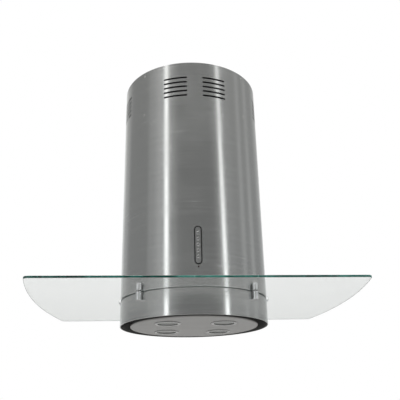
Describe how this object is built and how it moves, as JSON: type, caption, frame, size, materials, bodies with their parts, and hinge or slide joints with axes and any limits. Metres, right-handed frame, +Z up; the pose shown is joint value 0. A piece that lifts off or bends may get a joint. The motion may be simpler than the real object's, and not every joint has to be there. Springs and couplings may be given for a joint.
{
  "type": "island range hood",
  "caption": "Ceiling-hung island range hood: brushed steel cylinder through a flat clear glass canopy, perimeter suction panel with round lamps, push-button strip.",
  "frame": {"origin": "centre of the ceiling plate's upper face, where it meets the ceiling", "axes": "+Z up, -Y the front with the push buttons, +X to the right of a person facing the front"},
  "size_m": [0.898, 0.61, 0.7535],
  "materials": {
    "brushed_steel": "brushed around the cylinder",
    "zinc_steel": "plain galvanised sheet",
    "chrome": "polished",
    "bright_steel": "zinc plated",
    "canopy_glass": "clear, polished green edges",
    "frosted_glass": "frosted",
    "lamp_glass": "clear",
    "button_metal": "metallised, domed",
    "black_gloss": "gloss",
    "indicator_red": "dark clear red",
    "black_plastic": "moulded",
    "grey_plastic": "moulded",
    "wheel_plastic": "moulded",
    "motor_steel": "satin",
    "circuit_green": "solder resist",
    "clear_rubber": "translucent",
    "black_rubber": "matt",
    "aluminium_mesh": "expanded mesh",
    "aluminium_can": "drawn can",
    "magnet_dark": "sintered, coated"
  },
  "bodies": {
    "hood": {"casing_tube": "brushed_steel", "control_strip": "brushed_steel", "ceiling_plate": "zinc_steel", "frame_legs": "zinc_steel", "blower_deck": "zinc_steel", "filter_deck": "zinc_steel", "filter_hooks": "zinc_steel", "motor_bracket": "zinc_steel", "panel_hinge_arms": "zinc_steel", "inlet_guard": "zinc_steel", "filter_frame": "zinc_steel", "glass_clamp_rear_left": "chrome", "glass_clamp_front_left": "chrome", "glass_clamp_front_right": "chrome", "glass_clamp_rear_right": "chrome", "frame_screws": "bright_steel", "casing_screws": "bright_steel", "damper_pins": "bright_steel", "glass_canopy": "canopy_glass", "control_bezel": "black_gloss", "indicator_lens": "indicator_red", "outlet_collar": "black_plastic", "control_housing": "black_plastic", "power_box": "black_plastic", "power_box_lid": "black_plastic", "lamp_transformer": "black_plastic", "cable_gland": "black_plastic", "capacitor_clip": "black_plastic", "blower_housing_front": "grey_plastic", "blower_housing_rear": "grey_plastic", "motor": "motor_steel", "control_board": "circuit_green", "power_board": "circuit_green", "clamp_gaskets": "clear_rubber", "motor_mounts": "black_rubber", "filter_mesh": "aluminium_mesh", "motor_capacitor": "aluminium_can", "catch_magnets": "magnet_dark"},
    "panel": {"light_panel": "brushed_steel", "panel_cover": "zinc_steel", "panel_hinge_clips": "zinc_steel", "panel_hinge_pins": "bright_steel", "catch_plates": "zinc_steel", "lamp_lenses": "frosted_glass", "lamp_cans": "bright_steel", "halogen_capsules": "lamp_glass", "lamp_ring_rear_left": "chrome", "lamp_ring_front_left": "chrome", "lamp_ring_front_right": "chrome", "lamp_ring_rear_right": "chrome"},
    "blower_wheel": {"impeller": "wheel_plastic", "motor_shaft": "bright_steel"},
    "damper_left": {"damper_flap_left": "black_plastic"},
    "damper_right": {"damper_flap_right": "black_plastic"},
    "latch": {"filter_latch": "bright_steel"},
    "timer_button": {"button_timer": "button_metal"},
    "fast_button": {"button_fast": "button_metal"},
    "medium_button": {"button_medium": "button_metal"},
    "slow_button": {"button_slow": "button_metal"},
    "light_button": {"button_light": "button_metal"}
  },
  "joints": [
    {"name": "panel_hinge", "type": "hinge", "parent": "hood", "child": "panel", "pos_m": [0, 0.168, -0.736], "axis": [1, 0, 0], "range_deg": [0, 80]},
    {"name": "blower_spin", "type": "hinge", "parent": "hood", "child": "blower_wheel", "pos_m": [0.0755, 0, -0.38], "axis": [0, 1, 0], "continuous": true},
    {"name": "damper_left_hinge", "type": "hinge", "parent": "hood", "child": "damper_left", "pos_m": [-0.005, 0, -0.236], "axis": [0, 1, 0], "range_deg": [0, 78]},
    {"name": "damper_right_hinge", "type": "hinge", "parent": "hood", "child": "damper_right", "pos_m": [0.005, 0, -0.236], "axis": [0, -1, 0], "range_deg": [0, 78]},
    {"name": "filter_latch_slide", "type": "slide", "parent": "hood", "child": "latch", "axis": [0, 1, 0], "range_m": [0, 0.007], "stiffness_N_per_m": 300, "springref_m": -0.002},
    {"name": "timer_push", "type": "slide", "parent": "hood", "child": "timer_button", "axis": [0, 1, 0], "range_m": [0, 0.001], "stiffness_N_per_m": 1500, "springref_m": -0.0005},
    {"name": "fast_push", "type": "slide", "parent": "hood", "child": "fast_button", "axis": [0, 1, 0], "range_m": [0, 0.001], "stiffness_N_per_m": 1500, "springref_m": -0.0005},
    {"name": "medium_push", "type": "slide", "parent": "hood", "child": "medium_button", "axis": [0, 1, 0], "range_m": [0, 0.001], "stiffness_N_per_m": 1500, "springref_m": -0.0005},
    {"name": "slow_push", "type": "slide", "parent": "hood", "child": "slow_button", "axis": [0, 1, 0], "range_m": [0, 0.001], "stiffness_N_per_m": 1500, "springref_m": -0.0005},
    {"name": "light_push", "type": "slide", "parent": "hood", "child": "light_button", "axis": [0, 1, 0], "range_m": [0, 0.001], "stiffness_N_per_m": 1500, "springref_m": -0.0005}
  ]
}
